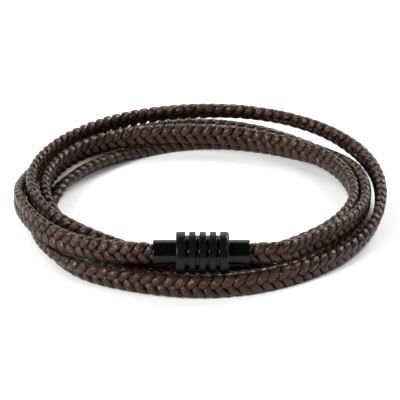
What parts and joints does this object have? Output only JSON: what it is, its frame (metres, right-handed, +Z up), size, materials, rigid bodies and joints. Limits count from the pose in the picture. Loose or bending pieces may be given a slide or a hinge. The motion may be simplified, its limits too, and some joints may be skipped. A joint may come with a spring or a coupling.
{
  "type": "leather wrap bracelet",
  "caption": "Braided leather wrap bracelet: one flat dark brown braid wound in open turns round the wrist and held in a ribbed black tube clasp.",
  "frame": {"origin": "centre of the ring of turns, on the surface that the bracelet lies on", "axes": "+Z up out of the lying ring, the clasp on the -Y side with its axis along X, +X to the right seen from the clasp"},
  "size_m": [0.079, 0.0804, 0.012],
  "materials": {
    "braided_leather": "satin",
    "black_clasp": "gloss"
  },
  "bodies": {
    "root": {"leather_braid": "braided_leather", "clasp_sleeve": "black_clasp", "left_end_cap": "black_clasp", "right_end_cap": "black_clasp"}
  },
  "joints": []
}
